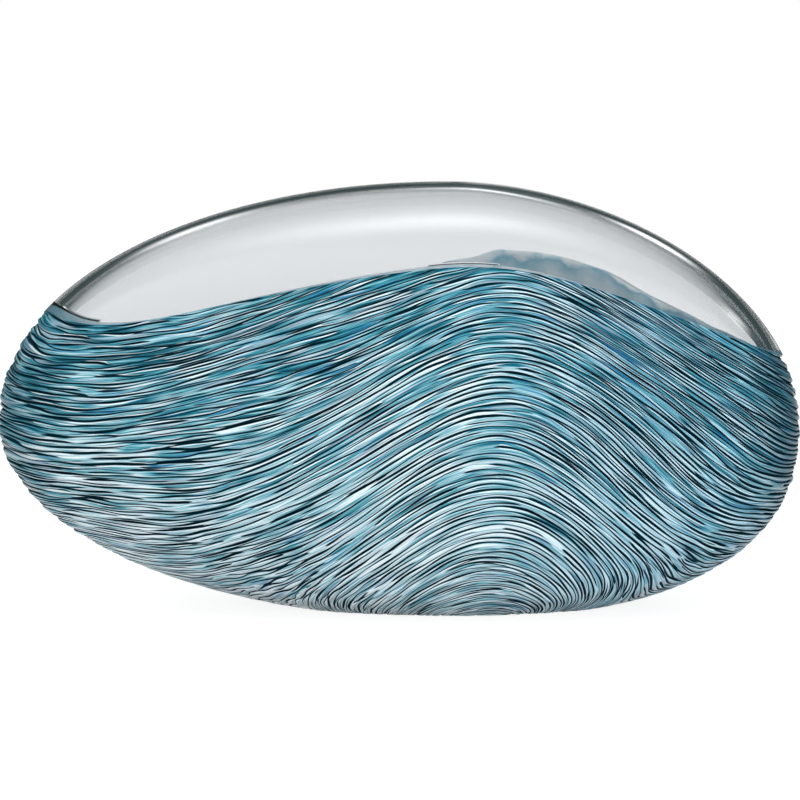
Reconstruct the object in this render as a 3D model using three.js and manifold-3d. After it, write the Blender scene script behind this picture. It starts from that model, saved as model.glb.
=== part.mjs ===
// A hollow blown-glass pebble sculpture. A clear polished crown meets a carved, coloured body along a
// wave line, and the body stands on a ground foot whose blow hole is closed by a ground plug.
// Units are millimetres and +Z is up. The front looks along -Y, the long axis lies along X, and the
// origin is on the table, under the middle of the sculpture's length.
import * as THREE from "three";
import { mergeVertices } from "three/addons/utils/BufferGeometryUtils.js";
import Module from "manifold-3d";

// Outer form, measured from the waist, the level at which the pebble is longest
const LEFT_REACH = 225;
const RIGHT_REACH = 175;
const HALF_DEPTH = 78;
const CROWN_RISE = 120;
const BELLY_DROP = 98;
const FOOT_GRIND = 7; // taken off the bottom of the belly to make the flat foot

// Fullness of each quarter outline: 2 is an ellipse, more is squarer and less is leaner
const UPPER_FULLNESS = { left: 2.05, right: 1.86, depth: 2.2 };
const LOWER_FULLNESS = { left: 2.0, right: 2.45, depth: 2.4 };

// Glass wall, and the floor inside the foot
const WALL = 6;
const CROWN_WALL = 3.5; // at the top, where the blown wall is thinnest
const SEAT_DEPTH = 5; // counterbore in the underside of the foot
const LEDGE = 6; // glass left over the counterbore

// Wave line between crown and body, as drops below the top of the crown
const JOINT_DROP_LEFT = 57;
const JOINT_DROP_RIGHT = 92;
const JOINT_DROP_FRONT = 34;
const JOINT_DROP_BACK = 32;
const JOINT_GAP = 0.3;

// Places round the pebble: 0 is the right end, 90 degrees the middle of the front, 180 the left end
const FRONT_CREST = THREE.MathUtils.degToRad(78);
const BACK_CREST = THREE.MathUtils.degToRad(290);
const FRONT_TROUGH = THREE.MathUtils.degToRad(147);
const BACK_TROUGH = THREE.MathUtils.degToRad(220);

const JOINT_TIGHTNESS = { front: 3, back: 4.5 };
const TROUGH_TIGHTNESS = { front: 13, back: 5 };
const TROUGH_DEPTH_FRONT = 12;
const TROUGH_DEPTH_BACK = 23;

// Flow of the carved lines, from share 0, the lowest line that clears the foot, to share 1 high up. Each
// pair of values is for those two shares. Lower lines run into the foot, and the joint cuts the upper ones.
const LOWEST_FLOW = 6.5; // mean height over the foot at share 0
const UPPER_FLOW_DROP = 80; // mean drop below the top of the crown at share 1
const FLOW_TILT = -25;
const FLOW_RISE = { front: 71, back: 48 };
const FLOW_CRESTS = {
  front: [THREE.MathUtils.degToRad(84), THREE.MathUtils.degToRad(77.5)],
  back: [THREE.MathUtils.degToRad(288), BACK_CREST],
};
const FLOW_TIGHTNESS = { front: [13.5, 2.55], back: [10, 3.5] };
const FLOW_TROUGHS = {
  front: { turn: FRONT_TROUGH, depth: 9, tightness: 9.5 },
  back: { turn: BACK_TROUGH, depth: 12, tightness: 5 },
};

// Main carved lines: narrow grooves, which drift a little from the even flow
const LINES = 46;
const SHARES = [-0.68, 1.14]; // of the first line, all under the foot, and of the last, all over the joint
const GROOVE_DEPTH = 1.4;
const GROOVE_HALF_WIDTH = 1.1;
const GROOVE_STEEPNESS = 0.3; // most depth for each millimetre between two lines, where they crowd together
const MOST_WIDTH = 0.35; // most half width for each millimetre between two lines
const RUN_OUT = 0.5; // height from the joint or the foot at which a line ends
const DRIFT = 0.006;
const DRIFT_WAVES = [
  { laps: 3, climb: 5, phase: 1 },
  { laps: 4, climb: 11, phase: 4 },
  { laps: 6, climb: 7, phase: 2 },
  { laps: 9, climb: 13, phase: 5 },
];

// Plug in the blow hole
const HOLE_RADIUS = 14;
const SEAT_WIDTH = 6;
const PLUG_FIT = 0.3; // clearance all round the plug
const PLUG_RECESS = 0.5; // how far the plug stays above the ground face

// Soft pads under the foot
const PAD_RADIUS = 6;
const PAD_HEIGHT = 0.8;
const PAD_BEVEL = 0.3;
const PAD_INSET = 20; // from the edge of the foot to the middle of a pad
const PAD_TURN = THREE.MathUtils.degToRad(44); // round the foot from its two ends
const GLUE_LINE = 0.3;

// Fineness of the surfaces
const COLUMNS = 56;
const COLUMN_SHIFT = 0.3; // how far the columns close up at front and back, where the lines bend most
const CROWN_RINGS = 10;
const HOLLOW_RINGS = 8;
const ROUND_SEGMENTS = 32;
const LEAST_DETAIL = 0.05; // finer steps are smoothed away after cutting

// Levels above the ground face of the foot
const WAIST = BELLY_DROP - FOOT_GRIND;
const TOP = WAIST + CROWN_RISE;
const FLOOR = SEAT_DEPTH + LEDGE;
const ROUGH_FOOT = -FOOT_GRIND / 2; // before the foot is ground
const JOINT_MEAN = TOP - (JOINT_DROP_LEFT + JOINT_DROP_RIGHT) / 2;
const JOINT_TILT = (JOINT_DROP_LEFT - JOINT_DROP_RIGHT) / 2;

// The waist point stands off the middle of the length
const AXIS_X = (LEFT_REACH - RIGHT_REACH) / 2;
const SEAT_RADIUS = HOLE_RADIUS + SEAT_WIDTH;

const TURNS = Array.from({ length: COLUMNS }, (_, i) => {
  const even = (2 * Math.PI * i) / COLUMNS;
  return even + (COLUMN_SHIFT * Math.sin(2 * even)) / 2;
});

// The outer skin and the blown hollow
const OUTER = drawnIn(0, 0, BELLY_DROP);
const HOLLOW = drawnIn(WALL, CROWN_WALL, WAIST - FLOOR);

const wasm = await Module();
wasm.setup();

// The pebble drawn in by one thickness at the waist and another at the top, with its own drop from
// waist to bottom.
function drawnIn(thickness, topThickness, drop) {
  return {
    left: LEFT_REACH - thickness,
    right: RIGHT_REACH - thickness,
    depth: HALF_DEPTH - thickness,
    rise: CROWN_RISE - topThickness,
    drop,
  };
}

const mix = THREE.MathUtils.lerp;

// Share of the full reach that is left at a share of the full height.
function taper(height, fullness) {
  return (1 - Math.min(1, height) ** fullness) ** (1 / fullness);
}

// Reaches of a skin at one level.
function section(skin, z) {
  const upper = z > WAIST;
  const height = Math.abs(z - WAIST) / (upper ? skin.rise : skin.drop);
  const fullness = upper ? UPPER_FULLNESS : LOWER_FULLNESS;
  return {
    left: skin.left * taper(height, fullness.left),
    right: skin.right * taper(height, fullness.right),
    depth: skin.depth * taper(height, fullness.depth),
  };
}

// Point of a skin at one turn and level: an oval that is longer to the left than to the right.
function skinPoint(skin, turn, z) {
  const { left, right, depth } = section(skin, z);
  const along = Math.cos(turn);
  const reach = (right + left) / 2 + ((right - left) / 2) * along;
  return new THREE.Vector3(AXIS_X + reach * along, -depth * Math.sin(turn), z);
}

// Ring of points on a skin, at the level that a function gives for each turn.
function ring(skin, levelAt) {
  return TURNS.map((turn) => skinPoint(skin, turn, levelAt(turn)));
}

// Latitude of a level on a skin, from a quarter turn at the top to minus that at the bottom.
function latitude(skin, z) {
  const height = (z - WAIST) / (z > WAIST ? skin.rise : skin.drop);
  return Math.asin(THREE.MathUtils.clamp(height, -1, 1));
}

function levelOf(skin, angle) {
  return WAIST + (angle > 0 ? skin.rise : skin.drop) * Math.sin(angle);
}

// Rings that run over a skin from an edge towards its top or bottom point, without that point.
function ringsToPole(skin, edgeAt, pole, count) {
  return Array.from({ length: count }, (_, k) =>
    ring(skin, (turn) => {
      const edge = latitude(skin, edgeAt(turn));
      return levelOf(skin, mix(edge, pole, k / count));
    }),
  );
}

// Smooth swell that is 1 at its crest and dies away round the pebble.
function swell(turn, crest, tightness) {
  return Math.exp(tightness * (Math.cos(turn - crest) - 1));
}

// Level of the joint: a tilted line with a crest and a trough in front and behind.
function bodyEdge(turn) {
  return (
    JOINT_MEAN +
    JOINT_TILT * Math.cos(turn) +
    (TOP - JOINT_DROP_FRONT - JOINT_MEAN) * swell(turn, FRONT_CREST, JOINT_TIGHTNESS.front) +
    (TOP - JOINT_DROP_BACK - JOINT_MEAN) * swell(turn, BACK_CREST, JOINT_TIGHTNESS.back) -
    TROUGH_DEPTH_FRONT * swell(turn, FRONT_TROUGH, TROUGH_TIGHTNESS.front) -
    TROUGH_DEPTH_BACK * swell(turn, BACK_TROUGH, TROUGH_TIGHTNESS.back)
  );
}

const crownEdge = (turn) => bodyEdge(turn) + JOINT_GAP;

// Level of the even flow at one turn round the waist.
function flowLevel(turn, share) {
  const inner = Math.max(share, 0);
  let level = mix(LOWEST_FLOW, TOP - UPPER_FLOW_DROP, share) + inner * FLOW_TILT * Math.cos(turn);
  for (const side of ["front", "back"]) {
    const crest = mix(...FLOW_CRESTS[side], inner);
    const trough = FLOW_TROUGHS[side];
    level += FLOW_RISE[side] * swell(turn, crest, mix(...FLOW_TIGHTNESS[side], inner));
    level -= inner * trough.depth * swell(turn, trough.turn, trough.tightness);
  }
  return level;
}

// Turn at which the waist has the same X, so that the lines aren't drawn together below it.
function waistTurn(turn, z) {
  const x = skinPoint(OUTER, turn, Math.min(z, WAIST)).x - AXIS_X;
  const middle = (RIGHT_REACH + LEFT_REACH) / 2;
  const lean = (RIGHT_REACH - LEFT_REACH) / 2;
  const along = (2 * x) / (middle + Math.sqrt(middle ** 2 + 4 * lean * x));
  const straight = Math.acos(THREE.MathUtils.clamp(along, -1, 1));
  const isBack = Math.sin(turn) < 0;
  return mix(turn, isBack ? 2 * Math.PI - straight : straight, Math.sin(turn) ** 2);
}

// Level at which a carved line crosses a turn, found by halving.
function lineLevel(turn, line) {
  const share = mix(...SHARES, line / LINES);
  const waves = DRIFT_WAVES.map(({ laps, climb, phase }) => Math.sin(laps * turn + climb * share + phase));
  const drifted = share + DRIFT * waves.reduce((sum, wave) => sum + wave);
  let low = -FOOT_GRIND;
  let high = TOP;
  while (high - low > 1e-6) {
    const middle = (low + high) / 2;
    if (flowLevel(waistTurn(turn, middle), drifted) > middle) low = middle;
    else high = middle;
  }
  return low;
}

// Column of points up the carved outside: for each line the bottom of its groove between two edges.
function carvedColumn(turn) {
  const joint = bodyEdge(turn);
  const lineAt = (line) => skinPoint(OUTER, turn, lineLevel(turn, line));
  const column = [];
  for (let line = 0; line <= LINES; line++) {
    const pitch = lineAt(line - 0.5).distanceTo(lineAt(line + 0.5));
    const halfWidth = Math.min(GROOVE_HALF_WIDTH, MOST_WIDTH * pitch) / Math.max(pitch, GROOVE_DEPTH);
    const depth = Math.min(GROOVE_DEPTH, GROOVE_STEEPNESS * pitch);
    for (const [place, cut] of [[line - halfWidth, 0], [line, depth], [line + halfWidth, 0]]) {
      const level = lineLevel(turn, place);
      if (level < RUN_OUT) column.push(skinPoint(OUTER, turn, ROUGH_FOOT));
      else if (level > joint - RUN_OUT) column.push(skinPoint(OUTER, turn, joint));
      else column.push(skinPoint(drawnIn(cut, cut, BELLY_DROP - cut), turn, level));
    }
  }
  return column;
}

// Closed surface through a first point, a row of rings and a last point.
function loft(first, rings, last) {
  const points = [first, ...rings.flat(), last];
  const at = (row, column) => 1 + row * COLUMNS + (column % COLUMNS);
  const end = points.length - 1;
  const faces = [];
  for (let i = 0; i < COLUMNS; i++) {
    faces.push(0, at(0, i), at(0, i + 1));
    for (let row = 0; row < rings.length - 1; row++) {
      faces.push(at(row, i), at(row + 1, i), at(row, i + 1));
      faces.push(at(row, i + 1), at(row + 1, i), at(row + 1, i + 1));
    }
    faces.push(at(rings.length - 1, i + 1), at(rings.length - 1, i), end);
  }
  const geometry = new THREE.BufferGeometry().setFromPoints(points);
  return geometry.setIndex(faces);
}

// Solid turned about the Z axis from [radius, height] corners that start and end on the axis.
function turned(corners) {
  const profile = corners.map(([radius, height]) => new THREE.Vector2(radius, height));
  return new THREE.LatheGeometry(profile, ROUND_SEGMENTS).rotateX(Math.PI / 2);
}

// Geometry to boolean solid and back. Faces without a width are left out.
function solidOf(geometry) {
  const bare = geometry.clone();
  bare.deleteAttribute("normal");
  bare.deleteAttribute("uv");
  const merged = mergeVertices(bare);
  const corners = merged.index.array;
  const kept = [];
  for (let i = 0; i < corners.length; i += 3) {
    const [a, b, c] = corners.slice(i, i + 3);
    if (a !== b && b !== c && c !== a) kept.push(a, b, c);
  }
  const mesh = new wasm.Mesh({
    numProp: 3,
    vertProperties: new Float32Array(merged.attributes.position.array),
    triVerts: new Uint32Array(kept),
  });
  return new wasm.Manifold(mesh);
}

function geometryOf(solid) {
  const mesh = solid.getMesh();
  const geometry = new THREE.BufferGeometry();
  geometry.setAttribute("position", new THREE.BufferAttribute(mesh.vertProperties, 3));
  return geometry.setIndex(new THREE.BufferAttribute(mesh.triVerts, 1));
}

// Clear dome: over the hollow from its top to the joint, then back up the outside.
function crownGeometry() {
  const inside = ringsToPole(HOLLOW, crownEdge, Math.PI / 2, CROWN_RINGS).reverse();
  const outside = ringsToPole(OUTER, crownEdge, Math.PI / 2, CROWN_RINGS);
  const hollowTop = new THREE.Vector3(AXIS_X, 0, WAIST + HOLLOW.rise);
  return loft(hollowTop, [...inside, ...outside], new THREE.Vector3(AXIS_X, 0, TOP));
}

// Carved bowl: up the carved outside from the foot to the joint, then down the hollow to the floor. The
// foot is ground flat and drilled for the plug.
function bodyGeometry() {
  const columns = TURNS.map(carvedColumn);
  const outside = columns[0].map((_, row) => columns.map((column) => column[row]));
  const inside = ringsToPole(HOLLOW, bodyEdge, -Math.PI / 2, HOLLOW_RINGS);
  const footMiddle = new THREE.Vector3(AXIS_X, 0, ROUGH_FOOT);
  const floorMiddle = new THREE.Vector3(AXIS_X, 0, FLOOR);
  const blank = solidOf(loft(footMiddle, [...outside, ...inside], floorMiddle)).trimByPlane([0, 0, 1], 0);
  const drill = turned([
    [0, -SEAT_DEPTH],
    [SEAT_RADIUS, -SEAT_DEPTH],
    [SEAT_RADIUS, SEAT_DEPTH],
    [HOLE_RADIUS, SEAT_DEPTH],
    [HOLE_RADIUS, FLOOR + LEDGE],
    [0, FLOOR + LEDGE],
  ]);
  drill.translate(AXIS_X, 0, 0);
  return geometryOf(blank.subtract(solidOf(drill)).simplify(LEAST_DETAIL));
}

// Stepped plug: a flange in the counterbore and a spigot in the blow hole.
function plugGeometry() {
  return turned([
    [0, PLUG_RECESS],
    [SEAT_RADIUS - PLUG_FIT, PLUG_RECESS],
    [SEAT_RADIUS - PLUG_FIT, SEAT_DEPTH - PLUG_FIT],
    [HOLE_RADIUS - PLUG_FIT, SEAT_DEPTH - PLUG_FIT],
    [HOLE_RADIUS - PLUG_FIT, FLOOR],
    [0, FLOOR],
  ]);
}

function padGeometry() {
  return turned([
    [0, 0],
    [PAD_RADIUS - PAD_BEVEL, 0],
    [PAD_RADIUS, PAD_BEVEL],
    [PAD_RADIUS, PAD_HEIGHT],
    [0, PAD_HEIGHT],
  ]);
}

// A pad stands in from the edge of the foot, towards the waist axis.
function padPlace(turn) {
  const edge = skinPoint(OUTER, turn, 0);
  const inward = new THREE.Vector3(AXIS_X, 0, 0).sub(edge).setLength(PAD_INSET);
  return edge.add(inward);
}

function named(name, geometry, material) {
  const mesh = new THREE.Mesh(geometry, material);
  mesh.name = name;
  return mesh;
}

const clearGlass = new THREE.MeshStandardMaterial({
  color: 0xdfe5e6,
  roughness: 0.04,
  metalness: 0,
  transparent: true,
  opacity: 0.35,
});
const carvedGlass = new THREE.MeshStandardMaterial({ color: 0x64909e, roughness: 0.25, metalness: 0 });
const plugGlass = new THREE.MeshStandardMaterial({ color: 0xbcccd0, roughness: 0.3, metalness: 0 });
const padRubber = new THREE.MeshStandardMaterial({ color: 0xd4d8d8, roughness: 0.6, metalness: 0 });

// The glass stands on the pads, with a line of glue between
const glass = new THREE.Group();
glass.position.z = PAD_HEIGHT + GLUE_LINE;
glass.add(named("clear_crown", crownGeometry(), clearGlass));
glass.add(named("carved_body", bodyGeometry(), carvedGlass));

const plug = named("foot_plug", plugGeometry(), plugGlass);
plug.position.x = AXIS_X;
glass.add(plug);

const sculpture = new THREE.Group();
sculpture.add(glass);

const PAD_TURNS = {
  front_right: PAD_TURN,
  front_left: Math.PI - PAD_TURN,
  back_left: Math.PI + PAD_TURN,
  back_right: -PAD_TURN,
};
for (const [corner, turn] of Object.entries(PAD_TURNS)) {
  const pad = named(`pad_${corner}`, padGeometry(), padRubber.clone());
  pad.position.copy(padPlace(turn));
  sculpture.add(pad);
}

export default sculpture;
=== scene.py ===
"""Looks of a hollow blown-glass pebble: a clear polished crown over a carved, coloured body.

Units are metres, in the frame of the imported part. Levels are heights above the ground face of the
foot, and a turn goes round the pebble: 0 is the right end, a quarter is the front, a half the left end.
"""
import math

import bmesh
import bpy
import numpy as np
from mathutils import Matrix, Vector


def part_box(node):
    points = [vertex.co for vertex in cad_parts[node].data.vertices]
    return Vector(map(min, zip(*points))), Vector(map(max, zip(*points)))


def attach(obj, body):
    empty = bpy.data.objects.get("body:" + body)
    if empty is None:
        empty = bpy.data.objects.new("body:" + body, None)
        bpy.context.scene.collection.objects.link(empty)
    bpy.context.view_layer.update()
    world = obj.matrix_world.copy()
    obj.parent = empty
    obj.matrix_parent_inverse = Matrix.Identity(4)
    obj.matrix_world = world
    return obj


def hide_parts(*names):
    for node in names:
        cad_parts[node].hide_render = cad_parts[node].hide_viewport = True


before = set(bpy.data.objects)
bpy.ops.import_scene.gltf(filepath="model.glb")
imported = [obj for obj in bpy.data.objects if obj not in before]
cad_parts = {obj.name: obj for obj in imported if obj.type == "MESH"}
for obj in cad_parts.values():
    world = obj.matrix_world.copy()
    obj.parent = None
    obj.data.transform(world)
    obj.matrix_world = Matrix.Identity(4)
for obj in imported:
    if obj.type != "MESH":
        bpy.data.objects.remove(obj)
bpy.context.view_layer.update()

MM = 0.001
FULL_TURN = 2 * math.pi
SEED = 8

# The pebble's outer form, measured from the waist, as in the part
LEFT_REACH = 225 * MM
RIGHT_REACH = 175 * MM
HALF_DEPTH = 78 * MM
CROWN_RISE = 120 * MM
BELLY_DROP = 98 * MM
FOOT_GRIND = 7 * MM
UPPER_FULLNESS = {"left": 2.05, "right": 1.86, "depth": 2.2}
LOWER_FULLNESS = {"left": 2.0, "right": 2.45, "depth": 2.4}
WALL = 6 * MM
CROWN_WALL = 3.5 * MM  # at the top, where the blown wall is thinnest
SEAT_DEPTH = 5 * MM
LEDGE = 6 * MM
HOLE_RADIUS = 14 * MM
SEAT_WIDTH = 6 * MM
PLUG_FIT = 0.3 * MM

# Wave line between crown and body
JOINT_DROP_LEFT = 57 * MM
JOINT_DROP_RIGHT = 92 * MM
JOINT_DROP_FRONT = 34 * MM
JOINT_DROP_BACK = 32 * MM
JOINT_LINE = 0.05 * MM  # what is left of the part's joint gap, as the rims are fused
FRONT_CREST = math.radians(78)
BACK_CREST = math.radians(290)
FRONT_TROUGH = math.radians(147)
BACK_TROUGH = math.radians(220)
JOINT_TIGHTNESS = {"front": 3, "back": 4.5}
TROUGH_TIGHTNESS = {"front": 13, "back": 5}
TROUGH_DEPTH_FRONT = 12 * MM
TROUGH_DEPTH_BACK = 23 * MM

# Behind, the colour thins out in a ragged line below the part's joint
RAGGED_DROP = 1.8 * MM
RAGGED_WAVES = [  # laps, phase and height
    (11, 3, 0.6 * MM),
    (19, 5, 0.5 * MM),
    (29, 1, 0.4 * MM),
    (43, 2, 0.2 * MM),
]
RAGGED_FROM = (0.1, 0.5)  # shares of the half depth behind the middle, over which it comes in
BACK_DIP = {"turn": math.radians(316), "tightness": 25, "depth": 5 * MM}

# Flow of the carved lines, from share 0, the lowest that clears the foot, up to share 1. The joint
# cuts the upper ones.
LOWEST_FLOW = 6.5 * MM
UPPER_FLOW_DROP = 80 * MM  # below the top of the crown
FLOW_TILT = -25 * MM  # at share 1
FLOW_RISE = {"front": 71 * MM, "back": 48 * MM}
FLOW_CRESTS = {"front": (math.radians(84), math.radians(77.5)), "back": (math.radians(288), BACK_CREST)}
FLOW_TIGHTNESS = {"front": (13.5, 2.55), "back": (10, 3.5)}
FLOW_TROUGH_DEPTH = {"front": 9 * MM, "back": 12 * MM}
FLOW_TROUGH_TIGHTNESS = {"front": 9.5, "back": 5}

# Carved lines: notches between convex strands, each a row of strokes that fade in and out. Every fourth
# is a main line, as in the part. The fine ones between, and the hairlines between those, are cut where
# there is room.
LINES = 184
SHARES = (-0.68, 1.14)  # of the first line, all under the foot, and of the last, all over the joint
NOTCH_DEPTH = 1.4 * MM
NOTCH_HALF_WIDTH = 0.52 * MM
NOTCH_STEEPNESS = 0.45  # most depth where lines crowd together, of two steps from line to line
LEAST_WIDTH = 0.6  # of the faintest notch, of the half width
WIDTH_GAIN = 0.5  # of the half width for each unit of weight
STRAND_ROUNDING = 0.85 * MM  # how fast a strand rises beside its notch
EDGE_ROWS = (0.06, 0.4)  # least and most of a strand between its notch and its edge row
LEAST_ROOM = 0.1 * MM  # between notches, for the edge rows
STROKE_LAPS = (5, 26)  # strokes and gaps in one lap round the pebble
STROKE_FADE = {"main": (-2.1, -1.1), "fine": (-1.7, -0.7), "hair": (-1.3, -0.2)}
WEIGHT = {"main": 1.15, "fine": 1.0, "hair": 0.85}
MOST_WEIGHT = 1.8  # beyond it a notch gets deeper, not wider
WEIGHT_SPREAD = 0.36  # of a stroke's depth and width
END_WEIGHT = 0.25  # added to a line at the pebble's two ends
SHOULDER_WEIGHT = 0.2  # added to a line between the middle and the right end
SHOULDER_RISE = (0.1, 0.5)  # cosines of the turn
SHOULDER_FALL = (0.7, 0.92)
LONE_WEIGHT = 0.45  # added to a main line where there is no room for others
ROOM = {  # from line to line, for a line to begin and to be full
    "main": (0, 0.1 * MM),
    "fine": (0.7 * MM, 1.1 * MM),
    "hair": (1.1 * MM, 1.8 * MM),
}
EDGE_PLACE = 1.15  # of the painted glint beside a notch, from the notch's middle, in half widths
EDGE_SPREAD = 0.5
EDGE_LIGHT = (0.3, 1.0)  # of the painted glint on a stroke's dim and bright edge
EDGE_SWAP = 1.5  # how far the ripple goes from one edge bright to the other
END_DULLING = 0.6  # of the edges' light at the pebble's two ends
SHOULDER_EDGE = 0.7  # of that dulling, which the shoulder is spared
WANDER_LAPS = (4, 32)
WANDER = 0.24  # of the step from line to line
MERGE = 0.15  # how far a fading stroke leans to its neighbour, of the same step
MOST_WANDER = 0.36
DRIFT = 0.006
DRIFT_WAVES = [(3, 5, 1), (4, 11, 4), (6, 7, 2), (9, 13, 5)]  # laps, climb and phase
JOINT_EASE = 0.4 * MM
JOINT_BLEND = 1.2 * MM  # height over which the carving runs out at the joint

# Fineness of the meshes and of the search for the lines
COLUMNS = 400
HOLLOW_ROWS = 40
CROWN_COLUMNS = 288
CROWN_ROWS = 64
ROUND_SEGMENTS = 96
WAIST_SAMPLES = 4001
FLOW_SAMPLES = 500
HALVINGS = 32

# Levels above the foot
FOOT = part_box("carved_body")[0].z
WAIST = BELLY_DROP - FOOT_GRIND
TOP = WAIST + CROWN_RISE
FLOOR = SEAT_DEPTH + LEDGE
JOINT_MEAN = TOP - (JOINT_DROP_LEFT + JOINT_DROP_RIGHT) / 2
JOINT_TILT = (JOINT_DROP_LEFT - JOINT_DROP_RIGHT) / 2
AXIS_X = (LEFT_REACH - RIGHT_REACH) / 2
SEAT_RADIUS = HOLE_RADIUS + SEAT_WIDTH
FLOOR_EDGE = 0.985  # share of the hollow's drop at which its floor meets the blow hole's rim
FOOT_MARGIN = 0.2 * MM


# The form
def mix(start, end, share):
    return start + (end - start) * share


def smoothstep(low, high, value):
    share = np.clip((value - low) / (high - low), 0, 1)
    return share * share * (3 - 2 * share)


def drawn_in(thickness, top_thickness, drop):
    """The pebble drawn in at the waist and at the top, with its own drop from waist to bottom."""
    return {
        "left": LEFT_REACH - thickness,
        "right": RIGHT_REACH - thickness,
        "depth": HALF_DEPTH - thickness,
        "rise": CROWN_RISE - top_thickness,
        "drop": drop,
    }


OUTER = drawn_in(0, 0, BELLY_DROP)
HOLLOW = drawn_in(WALL, CROWN_WALL, WAIST - FLOOR)


def taper(height, fullness):
    """Share of the full reach that is left at a share of the full height."""
    return (1 - np.clip(height, 0, 1) ** fullness) ** (1 / fullness)


def skin_points(skin, turns, levels):
    """Points of a skin: ovals that are longer to the left than to the right."""
    turns, levels = np.broadcast_arrays(turns, levels)
    upper = levels > WAIST
    height = np.abs(levels - WAIST) / np.where(upper, skin["rise"], skin["drop"])

    def reach(side):
        above = taper(height, UPPER_FULLNESS[side])
        below = taper(height, LOWER_FULLNESS[side])
        return skin[side] * np.where(upper, above, below)

    left, right, depth = reach("left"), reach("right"), reach("depth")
    along = np.cos(turns)
    x = AXIS_X + ((right + left) / 2 + (right - left) / 2 * along) * along
    return np.stack([x, -depth * np.sin(turns), levels + FOOT], -1)


def outward(turns, levels):
    """Level directions out of the outer skin."""
    nudge = 1e-4
    ahead = skin_points(OUTER, turns + nudge, levels)
    behind = skin_points(OUTER, turns - nudge, levels)
    tangent = ahead - behind
    away = np.stack([-tangent[..., 1], tangent[..., 0], np.zeros(levels.shape)], -1)
    return away / np.maximum(np.linalg.norm(away, axis=-1, keepdims=True), 1e-12)


def latitude(skin, levels):
    height = (levels - WAIST) / np.where(levels > WAIST, skin["rise"], skin["drop"])
    return np.arcsin(np.clip(height, -1, 1))


def level_of(skin, angle):
    return WAIST + np.where(angle > 0, skin["rise"], skin["drop"]) * np.sin(angle)


def swell(turns, crest, tightness):
    return np.exp(tightness * (np.cos(turns - crest) - 1))


def body_edge(turns):
    """Level of the joint: a tilted line with a crest and a trough in front and behind."""
    level = JOINT_MEAN + JOINT_TILT * np.cos(turns)
    front_rise = TOP - JOINT_DROP_FRONT - JOINT_MEAN
    back_rise = TOP - JOINT_DROP_BACK - JOINT_MEAN
    level = level + front_rise * swell(turns, FRONT_CREST, JOINT_TIGHTNESS["front"])
    level = level + back_rise * swell(turns, BACK_CREST, JOINT_TIGHTNESS["back"])
    level = level - TROUGH_DEPTH_FRONT * swell(turns, FRONT_TROUGH, TROUGH_TIGHTNESS["front"])
    return level - TROUGH_DEPTH_BACK * swell(turns, BACK_TROUGH, TROUGH_TIGHTNESS["back"])


def colour_edge(turns):
    """Level at which the colour ends: the joint in front, and a ragged line under it behind."""
    behind = smoothstep(*RAGGED_FROM, -np.sin(turns))
    waves = sum(size * np.sin(laps * turns + phase) for laps, phase, size in RAGGED_WAVES)
    dip = BACK_DIP["depth"] * swell(turns, BACK_DIP["turn"], BACK_DIP["tightness"])
    return body_edge(turns) - behind * (RAGGED_DROP + waves + dip)


def crown_edge(turns):
    return colour_edge(turns) + JOINT_LINE


def flow_level(turns, share):
    """Level of a flow line: a tight crest low on the belly, and a broad one high up."""
    inner = np.maximum(share, 0)
    level = mix(LOWEST_FLOW, TOP - UPPER_FLOW_DROP, share) + inner * FLOW_TILT * np.cos(turns)
    for side, trough in (("front", FRONT_TROUGH), ("back", BACK_TROUGH)):
        crest = mix(*FLOW_CRESTS[side], inner)
        level = level + FLOW_RISE[side] * swell(turns, crest, mix(*FLOW_TIGHTNESS[side], inner))
        hollow = swell(turns, trough, FLOW_TROUGH_TIGHTNESS[side])
        level = level - inner * FLOW_TROUGH_DEPTH[side] * hollow
    return level


def waist_turns(turns, levels):
    """Turn at which the waist has the same X, so that the flow lines aren't drawn together below it."""
    x = skin_points(OUTER, turns, np.minimum(levels, WAIST))[..., 0] - AXIS_X
    middle = (RIGHT_REACH + LEFT_REACH) / 2
    lean = (RIGHT_REACH - LEFT_REACH) / 2
    along = (np.sqrt(middle**2 + 4 * lean * x) - middle) / (2 * lean)
    straight = np.arccos(np.clip(along, -1, 1))
    straight = np.where(np.sin(turns) < 0, FULL_TURN - straight, straight)
    return mix(turns, straight, np.sin(turns) ** 2)


def flow_share(turns, levels):
    """Share of the flow line through each point, found by halving."""
    turns = waist_turns(turns, levels)
    low = np.full(turns.shape, SHARES[0] - 1)
    high = np.full(turns.shape, SHARES[1] + 0.2)
    for _ in range(HALVINGS):
        middle = (low + high) / 2
        under = flow_level(turns, middle) < levels
        low = np.where(under, middle, low)
        high = np.where(under, high, middle)
    return low


def even_turns(count):
    """Turns that are evenly spaced along the waist."""
    fine = np.linspace(0, FULL_TURN, WAIST_SAMPLES)
    steps = np.linalg.norm(np.diff(skin_points(OUTER, fine, WAIST), axis=0), axis=1)
    walked = np.concatenate([[0], np.cumsum(steps)])
    return np.interp(np.arange(count) / count * walked[-1], walked, fine)


# The carved lines
LAPS = FULL_TURN * np.arange(COLUMNS) / COLUMNS
TURNS = even_turns(COLUMNS)
ALONG = np.cos(TURNS)
SHOULDER = smoothstep(*SHOULDER_RISE, ALONG) * (1 - smoothstep(*SHOULDER_FALL, ALONG))
NUMBERS = np.arange(LINES + 1)[:, None] + 0 * TURNS
FLOW_LEVELS = np.linspace(FOOT_MARGIN - FOOT_GRIND, TOP, FLOW_SAMPLES)
FLOW_SHARES = flow_share(TURNS[None], FLOW_LEVELS[:, None] + 0 * TURNS)


def ripple(rng, laps_range, waves=6):
    """Smooth noise that closes round the pebble, one row for each line, with a spread of about 1."""
    shape = (waves, LINES + 1, 1)
    laps = rng.integers(laps_range[0], laps_range[1] + 1, shape)
    phase = rng.uniform(0, FULL_TURN, shape)
    return np.sin(laps * LAPS + phase).sum(0) * math.sqrt(2 / waves)


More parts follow.
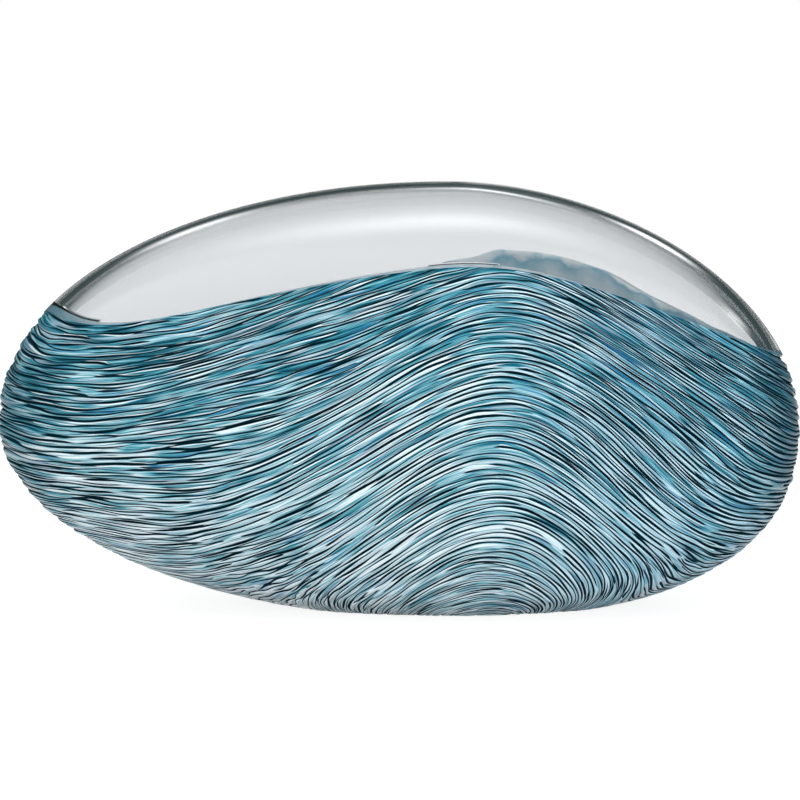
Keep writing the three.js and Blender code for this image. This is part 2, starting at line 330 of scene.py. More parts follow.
def drifted(share):
    """Share of a line after the slow sideways drift that neighbouring lines have in common."""
    waves = [np.sin(laps * TURNS + climb * share + phase) for laps, climb, phase in DRIFT_WAVES]
    return share + DRIFT * sum(waves)


def by_kind(values):
    """One value for each line: main, hair, fine, hair and so on."""
    cycle = [values[kind] for kind in ("main", "hair", "fine", "hair")]
    return np.array([cycle[n % 4] for n in range(LINES + 1)])


def levels_at(lines):
    """Levels of lines, by number, at all turns."""
    share = drifted(mix(*SHARES, lines / LINES))
    flat = share.reshape(-1, COLUMNS)
    levels = [np.interp(flat[:, i], FLOW_SHARES[:, i], FLOW_LEVELS) for i in range(COLUMNS)]
    return np.stack(levels, -1).reshape(share.shape)


def line_strokes(rng, step):
    """Strength of each line, from 0 in a gap to 1, and its weight in depth and width."""
    least, enough = by_kind(ROOM).T[..., None]
    faint, full = by_kind(STROKE_FADE).T[..., None]
    strength = smoothstep(faint, full, ripple(rng, STROKE_LAPS)) * smoothstep(least, enough, step)
    weight = by_kind(WEIGHT)[:, None] * strength * np.exp(WEIGHT_SPREAD * ripple(rng, STROKE_LAPS))
    alone = 1 - smoothstep(*ROOM["fine"], step)
    weight = weight * (1 + END_WEIGHT * ALONG**2) * (1 + LONE_WEIGHT * alone)
    return strength, weight * (1 + SHOULDER_WEIGHT * SHOULDER)


def line_places(rng, strength):
    """Line numbers after each line's own wander, and its lean to a neighbour where a stroke fades."""
    lean = rng.choice([-1.0, 1.0], (LINES + 1, 1))
    aside = WANDER * ripple(rng, WANDER_LAPS) + MERGE * lean * (1 - strength)
    return NUMBERS + aside.clip(-MOST_WANDER, MOST_WANDER)


def strand_shares(notches, half_width):
    """A strand's rows, as shares from its notch to the next: notch, edge, crest and edge."""
    room = np.maximum(np.linalg.norm(np.diff(notches, axis=0), axis=-1), LEAST_ROOM)
    over = np.clip(half_width[:-1] / room, *EDGE_ROWS)
    under = 1 - np.clip(half_width[1:] / room, *EDGE_ROWS)
    return np.stack([np.zeros_like(over), over, (over + under) / 2, under], 1)


def cut_by_lines(base, notches, depth, weight, half_width, upper_light):
    """Depth of the cut, notch and painted glint on the lit notch edge at each point, from the lines on
    both sides of it.
    """
    cut, notch, edge = np.zeros((3, *base.shape[:-1]))
    gloss = 1 - END_DULLING * (1 - SHOULDER_EDGE * SHOULDER) * ALONG**2
    for neighbour in (-2, -1, 0, 1, 2, 3):
        which = np.clip(np.arange(LINES) + neighbour, 0, LINES)
        away = np.linalg.norm(base - notches[which][:, None], axis=-1)
        cut += depth[which][:, None] * np.exp(-away / STRAND_ROUNDING)
        reach = away / half_width[which][:, None]
        notch = np.maximum(notch, weight[which][:, None] * np.clip(1 - reach, 0, 1))
        lit = (upper_light if neighbour <= 0 else sum(EDGE_LIGHT) - upper_light)[which] * gloss
        band = np.exp(-(((reach - EDGE_PLACE) / EDGE_SPREAD) ** 2))
        edge = np.maximum(edge, (weight[which] * lit)[:, None] * band)
    return cut, notch, edge


def with_last(values, last):
    """Rows of all strands in one stack, with the last line on top."""
    return np.vstack([values.reshape(-1, COLUMNS), np.broadcast_to(last, (1, COLUMNS))])


def carved_rows(rng):
    """Rows of points up the carved outside, with each point's line number, notch and painted glint on
    the notch edge.
    """
    even_lines = skin_points(OUTER, TURNS, levels_at(NUMBERS))
    step = np.linalg.norm(np.gradient(even_lines, axis=0), axis=-1)
    strength, weight = line_strokes(rng, step)
    half_width = NOTCH_HALF_WIDTH * (LEAST_WIDTH + WIDTH_GAIN * np.minimum(weight, MOST_WEIGHT))
    depth = np.minimum(NOTCH_DEPTH, NOTCH_STEEPNESS * 2 * step) * weight
    places = line_places(rng, strength)
    upper_light = mix(*EDGE_LIGHT, smoothstep(-EDGE_SWAP, EDGE_SWAP, ripple(rng, STROKE_LAPS)))

    notches = skin_points(OUTER, TURNS, levels_at(places))
    shares = strand_shares(notches, half_width)
    lines = places[:-1, None] + shares * np.diff(places, axis=0)[:, None]
    base = skin_points(OUTER, TURNS, levels_at(lines))
    cut, notch, edge = cut_by_lines(base, notches, depth, weight, half_width, upper_light)

    levels = levels_at(with_last(lines, places[-1]))
    line = with_last(np.arange(LINES)[:, None, None] + shares, LINES)
    joint = colour_edge(TURNS)
    line = np.minimum(line, [np.interp(joint[i], levels[:, i], line[:, i]) for i in range(COLUMNS)])
    carved = 1 - smoothstep(joint - JOINT_BLEND, joint, levels)
    levels = np.minimum(levels, joint)
    cut = mix(JOINT_EASE, with_last(cut, 0), carved)
    points = skin_points(OUTER, TURNS, levels) - cut[..., None] * outward(TURNS, levels)
    # edge: share of the painted glint, a pale highlight line beside each notch
    layers = {"line": line, "notch": carved * with_last(notch, 0), "edge": carved * with_last(edge, 0)}
    return points, layers


def circle_row(radius, level):
    x = AXIS_X + radius * np.cos(TURNS)
    return np.stack([x, -radius * np.sin(TURNS), np.full(COLUMNS, level + FOOT)], -1)


def hollow_rows():
    """Rows down the blown inside, from the joint to the drilled foot."""
    edge = latitude(HOLLOW, colour_edge(TURNS))
    share = np.linspace(0, 1, HOLLOW_ROWS)[:, None]
    wall = skin_points(HOLLOW, TURNS, level_of(HOLLOW, mix(edge, -math.asin(FLOOR_EDGE), share)))
    drilled = [
        circle_row(HOLE_RADIUS, FLOOR),
        circle_row(HOLE_RADIUS, SEAT_DEPTH),
        circle_row(SEAT_RADIUS, SEAT_DEPTH),
        circle_row(SEAT_RADIUS, 0),
    ]
    return np.concatenate([wall, np.stack(drilled)])


# Meshes
def grid_faces(rows, columns):
    """Faces of a grid of rows that close on themselves, facing out where rows go up."""
    row, column = np.meshgrid(np.arange(rows - 1), np.arange(columns), indexing="ij")
    after = (column + 1) % columns
    corners = [
        row * columns + column,
        (row + 1) * columns + column,
        (row + 1) * columns + after,
        row * columns + after,
    ]
    return np.stack(corners, -1).reshape(-1, 4)


def new_piece(name, points, faces, node, materials):
    mesh = bpy.data.meshes.new(name)
    mesh.from_pydata(points.reshape(-1, 3).tolist(), [], [list(map(int, f)) for f in faces])
    piece = bpy.data.objects.new(name, mesh)
    bpy.context.scene.collection.objects.link(piece)
    for material in materials:
        mesh.materials.append(material)
    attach(piece, "root")
    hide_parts(node)
    return piece


def smooth(piece, sharp_degrees):
    piece.data.shade_smooth()
    piece.data.set_sharp_from_angle(angle=math.radians(sharp_degrees))


CARVED, BLOWN, GROUND = range(3)  # the body's materials
DRILLED_ROWS = 4
CAP_ROOM = 0.1  # share of the bake map that is kept for the foot


def set_layer(mesh, name, values):
    layer = mesh.attributes.new(name, "FLOAT", "POINT")
    layer.data.foreach_set("value", values.ravel().astype(np.float32))


def lay_out(mesh, rows, carved_to):
    """Materials by row, and a bake map that goes round and up the rows."""
    first_row = np.repeat(np.arange(rows - 1), COLUMNS)
    kind = np.where(first_row < carved_to, CARVED, BLOWN)
    kind[first_row >= rows - DRILLED_ROWS] = GROUND
    mesh.polygons.foreach_set("material_index", kind.astype(np.int32))

    column = np.tile(np.arange(COLUMNS), rows - 1)
    u = np.stack([column, column, column + 1, column + 1], -1) / COLUMNS
    v = np.stack([first_row, first_row + 1, first_row + 1, first_row], -1) / (rows - 1)
    uv = np.stack([u, mix(CAP_ROOM, 1, v)], -1)
    mesh.uv_layers.new(name="OFBake").data.foreach_set("uv", uv.ravel().astype(np.float32))


def body_piece(materials):
    """Carved bowl as one closed mesh: carving, joint, hollow, drilled seat and ground foot."""
    outside, layers = carved_rows(np.random.default_rng(SEED))
    inside = hollow_rows()
    points = np.concatenate([outside, inside])
    faces = grid_faces(len(points), COLUMNS)
    piece = new_piece("carved_bowl", points, faces, "carved_body", materials)
    mesh = piece.data

    blank = np.zeros((len(inside), COLUMNS))
    for name, values in layers.items():
        set_layer(mesh, name, np.concatenate([values, blank]))
    inner_drop = colour_edge(TURNS) + FOOT - inside[..., 2]
    set_layer(mesh, "below", np.concatenate([np.zeros(outside.shape[:2]), inner_drop]))

    lay_out(mesh, len(points), len(outside) - 1)
    grind_foot(mesh)
    smooth(piece, 50)
    return piece


def grind_foot(mesh):
    """Cuts the carving off at the foot and closes the foot with a flat face round the seat."""
    bm = bmesh.new()
    bm.from_mesh(mesh)
    everything = bm.verts[:] + bm.edges[:] + bm.faces[:]
    plane = {"plane_co": (0, 0, FOOT), "plane_no": (0, 0, 1), "dist": 1e-7}
    bmesh.ops.bisect_plane(bm, geom=everything, clear_inner=True, **plane)
    bmesh.ops.remove_doubles(bm, verts=bm.verts[:], dist=1e-6)
    rim = [e for e in bm.edges if len(e.link_faces) == 1]
    filled = bmesh.ops.triangle_fill(bm, edges=rim, use_beauty=True, normal=(0, 0, -1))
    cap = [g for g in filled["geom"] if isinstance(g, bmesh.types.BMFace)]
    uv = bm.loops.layers.uv["OFBake"]
    reach = LEFT_REACH / 2
    for face in cap:
        face.material_index = GROUND
        for loop in face.loops:
            x, y, _ = loop.vert.co
            loop[uv].uv = ((x / reach + 1) / 2, (y / reach + 1) / 2 * CAP_ROOM)
    bmesh.ops.recalc_face_normals(bm, faces=bm.faces[:])
    bm.to_mesh(mesh)
    bm.free()


def crown_piece(materials):
    """Clear shell: over the hollow from its top to the joint, then back up the outside."""
    turns = even_turns(CROWN_COLUMNS)
    share = np.arange(CROWN_ROWS)[:, None] / CROWN_ROWS

    def rows_of(skin):
        edge = latitude(skin, crown_edge(turns))
        return skin_points(skin, turns, level_of(skin, mix(edge, math.pi / 2, share)))

    points = np.concatenate([rows_of(HOLLOW)[::-1], rows_of(OUTER)]).reshape(-1, 3)
    count = len(points)
    poles = np.array([[AXIS_X, 0, WAIST + HOLLOW["rise"] + FOOT], [AXIS_X, 0, TOP + FOOT]])
    faces = grid_faces(2 * CROWN_ROWS, CROWN_COLUMNS).tolist()
    last = count - CROWN_COLUMNS
    for i in range(CROWN_COLUMNS):
        after = (i + 1) % CROWN_COLUMNS
        faces.append([count, i, after])
        faces.append([count + 1, last + after, last + i])
    points = np.concatenate([points, poles])
    piece = new_piece("clear_dome", points, faces, "clear_crown", materials)
    joint = np.zeros(len(faces), np.int32)
    joint[(CROWN_ROWS - 1) * CROWN_COLUMNS : CROWN_ROWS * CROWN_COLUMNS] = 1
    piece.data.polygons.foreach_set("material_index", joint)
    smooth(piece, 60)
    piece.visible_shadow = False  # clear glass lets the lamps light the hollow
    return piece


def turned_piece(name, profile, centre, node, material):
    """Solid turned about an upright axis from (radius, height) corners between its two ends."""
    angle = FULL_TURN * np.arange(ROUND_SEGMENTS) / ROUND_SEGMENTS
    level = np.ones_like(angle)
    rows = [np.stack([r * np.cos(angle), -r * np.sin(angle), z * level], -1) for r, z in profile]
    points = np.stack(rows) + np.array(centre)
    faces = grid_faces(len(profile), ROUND_SEGMENTS).tolist()
    last = (len(profile) - 1) * ROUND_SEGMENTS
    faces.append(list(range(ROUND_SEGMENTS)))
    faces.append(list(range(last + ROUND_SEGMENTS - 1, last - 1, -1)))
    piece = new_piece(name, points, faces, node, [material])
    smooth(piece, 40)
    return piece


def rounded(radius, height, radius_of_edge, turn_from, steps=6):
    """Quarter-round corner of a turned profile, from one quarter turn to the next."""
    angles = np.linspace(turn_from, turn_from + math.pi / 2, steps)
    across, up = radius_of_edge * np.cos(angles), radius_of_edge * np.sin(angles)
    return list(zip(radius + across, height + up))


def plug_piece(material):
    low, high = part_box("foot_plug")
    flange, spigot = SEAT_RADIUS - PLUG_FIT, HOLE_RADIUS - PLUG_FIT
    chamfer = 0.5 * MM
    step = FOOT + SEAT_DEPTH - PLUG_FIT
    profile = [
        (flange / 2, low.z),
        (flange - chamfer, low.z),
        (flange, low.z + chamfer),
        (flange, step - chamfer),
        (flange - chamfer, step),
        (spigot, step),
        (spigot, high.z - chamfer),
        (spigot - chamfer, high.z),
        (spigot / 2, high.z),
    ]
    return turned_piece("ground_plug", profile, (AXIS_X, 0, 0), "foot_plug", material)


def pad_piece(corner, material):
    node = f"pad_{corner}"
    low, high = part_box(node)
    radius = (high.x - low.x) / 2
    bulge = 0.4 * MM
    bevel = 0.2 * MM
    profile = [(radius / 2, low.z)]
    profile += rounded(radius - bulge, low.z + bulge, bulge, -math.pi / 2)
    profile += rounded(radius - bevel, high.z - bevel, bevel, 0)
    profile += [(radius / 2, high.z)]
    centre = ((low.x + high.x) / 2, (low.y + high.y) / 2, 0)
    return turned_piece(f"soft_pad_{corner}", profile, centre, node, material)


# Materials
def colour(code):
    """Linear colour of a six-digit web colour."""
    parts = [int(code[i : i + 2], 16) / 255 for i in (0, 2, 4)]
    return (*[p / 12.92 if p <= 0.04045 else ((p + 0.055) / 1.055) ** 2.4 for p in parts], 1)


def add(tree, kind, inputs=None, **settings):
    """New node whose inputs are set to values or linked to other nodes' sockets."""
    made = tree.nodes.new("ShaderNode" + kind)
    for name, value in settings.items():
        setattr(made, name, value)
    for key, value in (inputs or {}).items():
        if isinstance(value, bpy.types.NodeSocket):
            tree.links.new(value, made.inputs[key])
        else:
            made.inputs[key].default_value = value
    return made


def math_node(tree, operation, first, second):
    return add(tree, "Math", {0: first, 1: second}, operation=operation).outputs[0]


def ranged(tree, value, low, high, to_low=0.0, to_high=1.0):
    """Value moved from one range to another, and held inside it."""
    sockets = {"Value": value, "From Min": low, "From Max": high, "To Min": to_low, "To Max": to_high}
    return add(tree, "MapRange", sockets).outputs["Result"]


def noise(tree, vector, scale, detail=2.0):
    sockets = {"Vector": vector, "Scale": scale, "Detail": detail}
    return add(tree, "TexNoise", sockets).outputs["Fac"]


def mixed(tree, share, first, second, blend="MIX"):
    made = add(tree, "Mix", data_type="RGBA", blend_type=blend)
    for key, value in (("Factor", share), ("A", first), ("B", second)):
        wanted = "VALUE" if key == "Factor" else "RGBA"
        socket = next(s for s in made.inputs if s.name == key and s.type == wanted)
        if isinstance(value, bpy.types.NodeSocket):
            tree.links.new(value, socket)
        else:
            socket.default_value = value
    return next(s for s in made.outputs if s.type == "RGBA")


def ramp(tree, value, stops):
    made = add(tree, "ValToRGB", {"Fac": value})
    band = made.color_ramp
    while len(band.elements) < len(stops):
        band.elements.new(1)
    for element, (place, code) in zip(band.elements, stops):
        element.position = place
        element.color = colour(code)
    return made.outputs["Color"]


def new_material(name):
    """Material with a bare principled shader, its tree, its shader and its position socket."""
    material = bpy.data.materials.new(name)
    material.use_nodes = True
    tree = material.node_tree
    tree.nodes.clear()
    shader = add(tree, "BsdfPrincipled")
    add(tree, "OutputMaterial", {"Surface": shader.outputs[0]})
    place = add(tree, "TexCoord").outputs["Object"]
    return material, tree, shader, place


def bump(tree, shader, height, distance, strength=0.4):
    made = add(tree, "Bump", {"Height": height, "Distance": distance, "Strength": strength})
    tree.links.new(made.outputs[0], shader.inputs["Normal"])


def attribute(tree, name):
    return add(tree, "Attribute", attribute_name=name).outputs["Fac"]


def axes(tree, vector):
    return add(tree, "SeparateXYZ", {0: vector}).outputs


# Colours of the carved glass, with the strands' tones from 0, the darkest, to 1, and the colours of the
# painted glints and painted shade on it
STRAND_TONES = [
    (0.0, "033644"),
    (0.25, "0f667b"),
    (0.5, "4a98a8"),
    (0.75, "9ec8d3"),
    (1.0, "e6f3f8"),
]
NOTCH_COLOUR = "002c3a"
# painted glint: pale highlight colour along the notch edges
PAINTED_GLINT_COLOUR = "ecfaff"
COBALT = "1470ab"
LAVENDER = "b3bccb"
# painted shade: darker colour at the two ends and where a face looks down
PAINTED_SHADE_COLOUR = "043c4a"
BLUE_TINT = "e2f6ff"

# Streaks along the strands: steps from line to line and length
STREAK_LENGTH = 27 * MM
STREAKS = {
    "strand": (0.6, STREAK_LENGTH),
    "broad": (0.12, 3 * STREAK_LENGTH),
    "hair": (3.0, 0.8 * STREAK_LENGTH),
    "accent": (0.9, 1.5 * STREAK_LENGTH),
    "glint": (1.1, STREAK_LENGTH),
}
STREAK_TONES = {"strand": 0.42, "broad": 0.16, "hair": 0.62}  # what each adds to the tone
NOISE_REACH = (0.34, 0.66)  # lowest and highest that the noise mostly gets

# Ranges in the carved glass: from, to and what they give there, which is 0 and 1 if it isn't said
HEIGHT_TONE = (0, 170 * MM, 0.22, -0.1)
LINE_TONE = (80, 170, 0.03, -0.2)
LEFT_TONE = (-130 * MM, 0, 0.1, -0.045)
RIGHT_TONE = (50 * MM, 120 * MM, 0, 0.075)
LOW_BELLY = (120 * MM, 80 * MM)  # where the left and right tones come in
BLUE_SIDE = (20 * MM, 120 * MM)
# Painted shade at the two ends
DARK_LEFT = (-160 * MM, -200 * MM, 0, 0.45)
DARK_RIGHT = (170 * MM, 200 * MM, 0, 0.9)
DARK_UNDER = (-0.7, -0.97, 0, 0.7)  # painted shade under the belly and on the down-facing notch walls, by how far a face looks down
COBALT_SHARE = (0.92, 1.0, 0, 0.5)
LAVENDER_SHARE = (0.25, 0.0, 0, 0.5)
GLINT_PATCHES = (0, 1, 0, 1.2)
PAINTED_GLINT_EDGE_SHARE = (0.2, 0.9)
GLINT_SHARE = (0.12, 0.6, 0, 0.9)
NOTCH_SHARE = (0.11, 0.4)
NOTCH_ROUGHNESS = (0.05, 0.4, 0.28, 0.7)
NOTCH_COAT = (0.05, 0.3, 0.35, 0)


def strand_tone(tree, spot, line, streaks):
    """Tone of the strands: paler low on the belly and at its left, with the streaks on top."""
    left, right = ranged(tree, spot["X"], *LEFT_TONE), ranged(tree, spot["X"], *RIGHT_TONE)
    belly = math_node(tree, "ADD", left, right)
    belly = math_node(tree, "MULTIPLY", belly, ranged(tree, spot["Z"], *LOW_BELLY))
    tone = math_node(tree, "ADD", ranged(tree, spot["Z"], *HEIGHT_TONE), ranged(tree, line, *LINE_TONE))
    tone = math_node(tree, "ADD", tone, belly)
    for name, share in STREAK_TONES.items():
        tone = math_node(tree, "ADD", tone, math_node(tree, "MULTIPLY", streaks[name], share))
    return tone


def streak_noise(tree, spot, line, name):
    """Noise drawn out along the strands, from 0 to 1."""
    step, length = STREAKS[name]
    x = math_node(tree, "MULTIPLY", spot["X"], 1 / length)
    y = math_node(tree, "MULTIPLY", spot["Y"], 1 / length)
    z = math_node(tree, "MULTIPLY", line, step)
    vector = add(tree, "CombineXYZ", {0: x, 1: y, 2: z}).outputs[0]
    detail = 3.0 if name == "hair" else 1.5
    return ranged(tree, noise(tree, vector, 1.0, detail), *NOISE_REACH)


def end_shade(tree, spot):
    """Share of the painted shade, a darker colour at both ends and where a face looks down."""
    left, right = ranged(tree, spot["X"], *DARK_LEFT), ranged(tree, spot["X"], *DARK_RIGHT)
    facing = axes(tree, add(tree, "NewGeometry").outputs["True Normal"])["Z"]
    ends = math_node(tree, "MAXIMUM", left, right)
    return math_node(tree, "MAXIMUM", ends, ranged(tree, facing, *DARK_UNDER))


def carved_material():
    """Carved coloured glass: long streaks along the strands, dark notches with painted glints (pale
    highlight lines) along their edges, and painted shade at the two ends and where a face looks down.
    """
    material, tree, shader, place = new_material("carved_coloured_glass")
    line, notch, edge = (attribute(tree, name) for name in ("line", "notch", "edge"))
    spot = axes(tree, place)
    streaks = {name: streak_noise(tree, spot, line, name) for name in STREAKS}
    glass = ramp(tree, strand_tone(tree, spot, line, streaks), STRAND_TONES)
    glass = mixed(tree, ranged(tree, streaks["accent"], *COBALT_SHARE), glass, colour(COBALT))
    glass = mixed(tree, ranged(tree, streaks["accent"], *LAVENDER_SHARE), glass, colour(LAVENDER))
    # Painted glints: pale highlight lines along the lit notch edges, in patches
    patches = ranged(tree, streaks["glint"], *GLINT_PATCHES)
    glint = math_node(tree, "MULTIPLY", ranged(tree, edge, *PAINTED_GLINT_EDGE_SHARE), patches)
    glass = mixed(tree, ranged(tree, glint, *GLINT_SHARE), glass, colour(PAINTED_GLINT_COLOUR))
    glass = mixed(tree, ranged(tree, spot["X"], *BLUE_SIDE), glass, colour(BLUE_TINT), "MULTIPLY")
    # painted shade at the ends and under the belly
    glass = mixed(tree, end_shade(tree, spot), glass, colour(PAINTED_SHADE_COLOUR))
    base = mixed(tree, ranged(tree, notch, *NOTCH_SHARE), glass, colour(NOTCH_COLOUR))
    tree.links.new(base, shader.inputs["Base Color"])
    tree.links.new(ranged(tree, notch, *NOTCH_ROUGHNESS), shader.inputs["Roughness"])
    tree.links.new(ranged(tree, notch, *NOTCH_COAT), shader.inputs["Coat Weight"])
    shader.inputs["Coat Roughness"].default_value = 0.1
    shader.inputs["Specular IOR Level"].default_value = 0.06
    bump(tree, shader, streaks["hair"], 0.25 * MM)
    return material


# The blown inside, and the joint as it shows through the crown
DEEP_COLOUR = "4c8799"
DEEP_LEFT = (-140 * MM, -165 * MM, 0, 0.85)
DEEP_RIGHT = (130 * MM, 165 * MM, 0, 0.7)
CLOUD_TONES = [(0.0, "f8fafb"), (0.1, "eaf1f5"), (0.3, "93bccd"), (0.5, "b9d2dd"), (1.0, "eef3f6")]
CLOUD_DEPTH = 16 * MM  # below the joint, over which the cloud tones run
CLOUD_EDGE = (-2.5 * MM, 5 * MM)  # how far the noise moves them
GAP_COLOUR = "e4ebf0"
SWIRL_TONES = [(0.3, "86b2c0"), (0.5, "abcad4"), (0.7, "d2e2e8")]
SWIRL_DEPTH = (15 * MM, 60 * MM)
SOAK_DEPTH = 10 * MM  # below the joint, over which less and less light soaks through the glass
CLOUD_SCALE = 62
GAP_SCALE = 40
SWIRL_SCALE = 16
JOINT_TONES = [(0.3, "b3cdd7"), (0.5, "cddee5"), (0.7, "e6eff2")]


def deeper_at_ends(tree, place, base):
    """Colour that deepens at the pebble's two ends, where the eye looks along the wall."""
    x = axes(tree, place)["X"]
    ends = math_node(tree, "MAXIMUM", ranged(tree, x, *DEEP_LEFT), ranged(tree, x, *DEEP_RIGHT))
    return mixed(tree, ends, base, colour(DEEP_COLOUR))


def blown_material():
    """Smooth inside of the coloured body: cloudy, and thinning out to nearly clear at the joint."""
    material, tree, shader, place = new_material("blown_inside")
    cloud = noise(tree, place, CLOUD_SCALE, 4)
    thin = math_node(tree, "ADD", attribute(tree, "below"), ranged(tree, cloud, 0.35, 0.65, *CLOUD_EDGE))
    base = ramp(tree, ranged(tree, thin, 0, CLOUD_DEPTH), CLOUD_TONES)
    gaps = ranged(tree, noise(tree, place, GAP_SCALE, 2), 0.5, 0.65, 0, 0.5)
    base = mixed(tree, gaps, base, colour(GAP_COLOUR))
    swirl = ramp(tree, noise(tree, place, SWIRL_SCALE, 4), SWIRL_TONES)
    base = mixed(tree, ranged(tree, thin, *SWIRL_DEPTH, 0, 0.9), base, swirl)
    tree.links.new(deeper_at_ends(tree, place, base), shader.inputs["Base Color"])
    tree.links.new(ranged(tree, cloud, 0.3, 0.7, 0.15, 0.3), shader.inputs["Roughness"])
    tree.links.new(ranged(tree, thin, 0, SOAK_DEPTH, 1, 0.4), shader.inputs["Subsurface Weight"])
    shader.inputs["Subsurface Radius"].default_value = (1, 1, 1)
    shader.inputs["Subsurface Scale"].default_value = 2 * WALL
    return material


def joint_material():
    """Coloured line of the joint, as it shows through the foot of the clear crown."""
    material, tree, shader, place = new_material("fused_joint")
    streak = noise(tree, place, 120, 2)
    base = deeper_at_ends(tree, place, ramp(tree, streak, JOINT_TONES))
    tree.links.new(base, shader.inputs["Base Color"])
    tree.links.new(ranged(tree, streak, 0.3, 0.7, 0.25, 0.4), shader.inputs["Roughness"])
    return material


# The ground glass, the clear glass and the rubber
GROUND_TONES = [(0.3, "9fb4ba"), (0.7, "c6d3d6")]
CROWN_TINT = (0.83, 0.84, 0.85, 1)
RUBBER_TONES = [(0.3, "c3c8c8"), (0.7, "dde1e1")]


def ground_material():
    """Ground, unpolished glass under the foot."""
    material, tree, shader, place = new_material("ground_glass")
    grain = noise(tree, place, 900, 3)
    tree.links.new(ramp(tree, grain, GROUND_TONES), shader.inputs["Base Color"])
    tree.links.new(ranged(tree, grain, 0.3, 0.7, 0.45, 0.65), shader.inputs["Roughness"])
    bump(tree, shader, grain, 0.05 * MM)
    return material


def crown_material():
    """Clear polished glass with the slight unevenness of a blown wall."""
    material, tree, shader, place = new_material("clear_blown_glass")
    shader.inputs["Base Color"].default_value = CROWN_TINT
    shader.inputs["Transmission Weight"].default_value = 1
    shader.inputs["IOR"].default_value = 1.5
    wave = noise(tree, place, 14, 1)
    tree.links.new(ranged(tree, wave, 0.3, 0.7, 0.0, 0.03), shader.inputs["Roughness"])
    return material


def pad_material():
    """Soft translucent rubber with a fine moulded grain."""
    material, tree, shader, place = new_material("pad_rubber")
    grain = noise(tree, place, 700, 2)
    tree.links.new(ramp(tree, grain, RUBBER_TONES), shader.inputs["Base Color"])
    tree.links.new(ranged(tree, grain, 0.3, 0.7, 0.5, 0.7), shader.inputs["Roughness"])
    bump(tree, shader, grain, 0.05 * MM)
    return material


# Stage
WHITE = (1, 1, 1, 1)
FLOOR_GREY = (0.8, 0.8, 0.8, 1)
FLOOR_REACH = 4
SEEN_GLOW = 0.88  # the part of the seen floor's white that takes no shadow
SEEN_MATT = (0.3, 0.3, 0.3, 1)  # the part that takes the shadow


def seen_directly(tree):
    """1 for rays that show the background: to the camera, or by way of gloss or glass."""
    path = add(tree, "LightPath").outputs
    seen = math_node(tree, "MAXIMUM", path["Is Camera Ray"], path["Is Glossy Ray"])
    return math_node(tree, "MAXIMUM", seen, path["Is Transmission Ray"])


def floor_stage():
    mesh = bpy.data.meshes.new("floor")
    corners = [(x * FLOOR_REACH, y * FLOOR_REACH, 0) for x, y in ((-1, -1), (1, -1), (1, 1), (-1, 1))]
    mesh.from_pydata(corners, [], [(0, 1, 2, 3)])
    floor = bpy.data.objects.new("floor", mesh)
    bpy.context.scene.collection.objects.link(floor)
    material = bpy.data.materials.new("pale_floor")
    material.use_nodes = True
    tree = material.node_tree
    tree.nodes.clear()
    matt = add(tree, "BsdfDiffuse", {"Color": FLOOR_GREY}).outputs[0]
    shade = add(tree, "BsdfDiffuse", {"Color": SEEN_MATT}).outputs[0]
    glow = add(tree, "Emission", {"Color": WHITE, "Strength": SEEN_GLOW}).outputs[0]
    shown = add(tree, "AddShader", {0: shade, 1: glow}).outputs[0]
    both = add(tree, "MixShader", {0: seen_directly(tree), 1: matt, 2: shown}).outputs[0]
    add(tree, "OutputMaterial", {"Surface": both})
    mesh.materials.append(material)


# Soft-edged lamps that gloss and glass show: direction, reach along the axes and strength
SOFT_LAMPS = [
    ((0, 0.01, 1), (0.32, 0.15, 1), 2.4),
    ((0, 0, 1), (0.7, 0.4, 1), 1.6),
    ((-0.32, 0.75, 0.59), (0.1, 0.3, 0.07), 3),
    ((0.1, 0.82, 0.56), (0.12, 0.3, 0.05), 2),
    ((0.36, 0.85, 0.4), (0.07, 0.3, 0.06), 3),
    ((0.77, 0.43, 0.46), (0.06, 0.08, 0.05), 4),
]


def soft_lamp(tree, direction, middle, reach, strength):
    offset = add(tree, "VectorMath", {0: direction, 1: middle}, operation="SUBTRACT").outputs[0]
    scale = tuple(1 / r for r in reach)
    offset = add(tree, "VectorMath", {0: offset, 1: scale}, operation="MULTIPLY").outputs[0]
    square = add(tree, "VectorMath", {0: offset, 1: offset}, operation="DOT_PRODUCT").outputs["Value"]
    fall = math_node(tree, "POWER", math.exp(-1), square)
    return math_node(tree, "MULTIPLY", fall, strength)


SURROUND = [(0.0, "ffffff"), (0.05, "ffffff"), (0.16, "66726f"), (1.0, "5c6664")]  # by height
ASIDE_COLOUR = "3c4a4b"
AHEAD = (0.96, 0.995)  # Y of a direction, from aside to straight behind the object
WORLD_LIGHT = 0.5


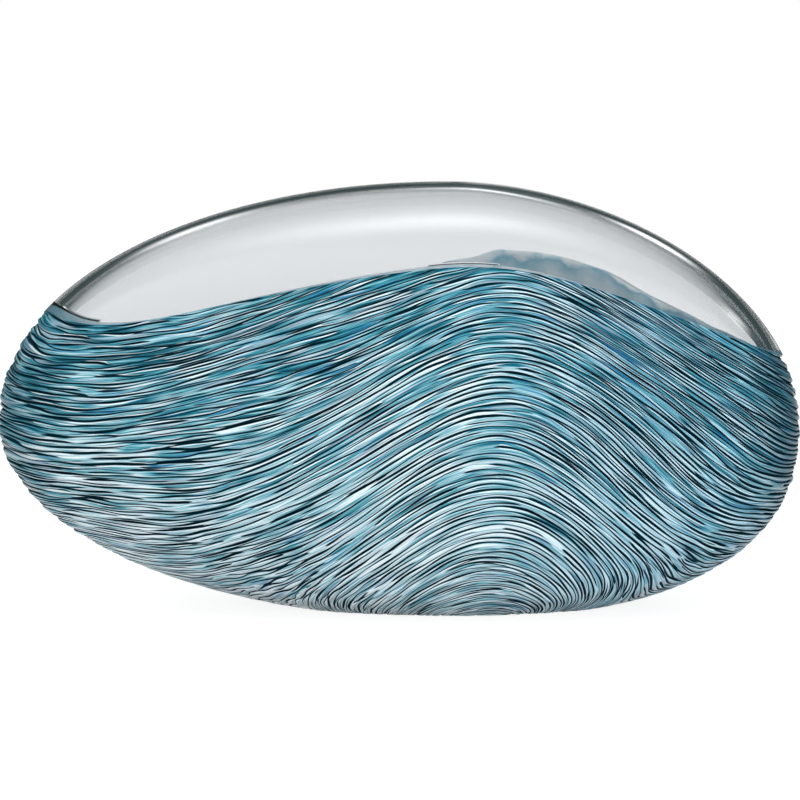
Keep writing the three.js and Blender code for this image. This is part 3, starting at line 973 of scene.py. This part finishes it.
def studio_world():
    """Soft grey light all round. In the glass it shows white behind the object, dim sides and top
    and a few soft lamps."""
    world = bpy.data.worlds.new("studio")
    bpy.context.scene.world = world
    world.use_nodes = True
    tree = world.node_tree
    tree.nodes.clear()
    path = add(tree, "LightPath").outputs
    direction = add(tree, "TexCoord").outputs["Generated"]
    spot = axes(tree, direction)
    surround = ramp(tree, spot["Z"], SURROUND)
    aside = math_node(tree, "MULTIPLY", path["Is Glossy Ray"], ranged(tree, spot["Y"], *AHEAD, 1, 0))
    surround = mixed(tree, aside, surround, colour(ASIDE_COLOUR))
    for middle, reach, strength in SOFT_LAMPS:
        lamp = soft_lamp(tree, direction, middle, reach, strength)
        surround = mixed(tree, 1.0, surround, lamp, "ADD")
    shown = mixed(tree, path["Is Camera Ray"], surround, WHITE)
    seen = add(tree, "Background", {"Color": shown, "Strength": 1.0}).outputs[0]
    light = add(tree, "Background", {"Color": WHITE, "Strength": WORLD_LIGHT}).outputs[0]
    both = add(tree, "MixShader", {0: seen_directly(tree), 1: light, 2: seen}).outputs[0]
    add(tree, "OutputWorld", {"Surface": both})


def softbox(name, place, size, power):
    """Rectangular lamp that faces the middle of the object, and doesn't show in gloss or glass."""
    lamp = bpy.data.lights.new(name, "AREA")
    lamp.shape = "RECTANGLE"
    lamp.size, lamp.size_y = size
    lamp.energy = power
    box = bpy.data.objects.new(name, lamp)
    bpy.context.scene.collection.objects.link(box)
    box.location = place
    aim = Vector((0, 0, WAIST)) - Vector(place)
    box.rotation_euler = aim.to_track_quat("-Z", "Y").to_euler()
    box.visible_glossy = False
    box.visible_transmission = False


CAMERA_DISTANCE = 1.8
CAMERA_ELEVATION = math.radians(8)
CAMERA_TARGET = Vector((0.0005, 0, 0.1032))
SEEN_WIDTH = 0.398  # at the target
SENSOR = 36


def photo_camera():
    data = bpy.data.cameras.new("camera")
    data.sensor_width = SENSOR
    data.lens = SENSOR * CAMERA_DISTANCE / SEEN_WIDTH
    camera = bpy.data.objects.new("camera", data)
    bpy.context.scene.collection.objects.link(camera)
    away = Vector((0, -math.cos(CAMERA_ELEVATION), math.sin(CAMERA_ELEVATION)))
    camera.location = CAMERA_TARGET + CAMERA_DISTANCE * away
    camera.rotation_euler = (-away).to_track_quat("-Z", "Y").to_euler()
    bpy.context.scene.camera = camera


body_piece([carved_material(), blown_material(), ground_material()])
crown_piece([crown_material(), joint_material()])
plug_piece(ground_material())
RUBBER = pad_material()
for corner in ("front_left", "front_right", "back_left", "back_right"):
    pad_piece(corner, RUBBER)

floor_stage()
studio_world()
softbox("overhead", (0, -0.5, 1.15), (1.2, 0.5), 6.5)
softbox("front", (0, -1.7, 0.5), (1.6, 0.9), 14)
softbox("back", (0, 1.7, 0.7), (1.6, 0.9), 7)
photo_camera()
bpy.context.scene.view_settings.view_transform = "Standard"
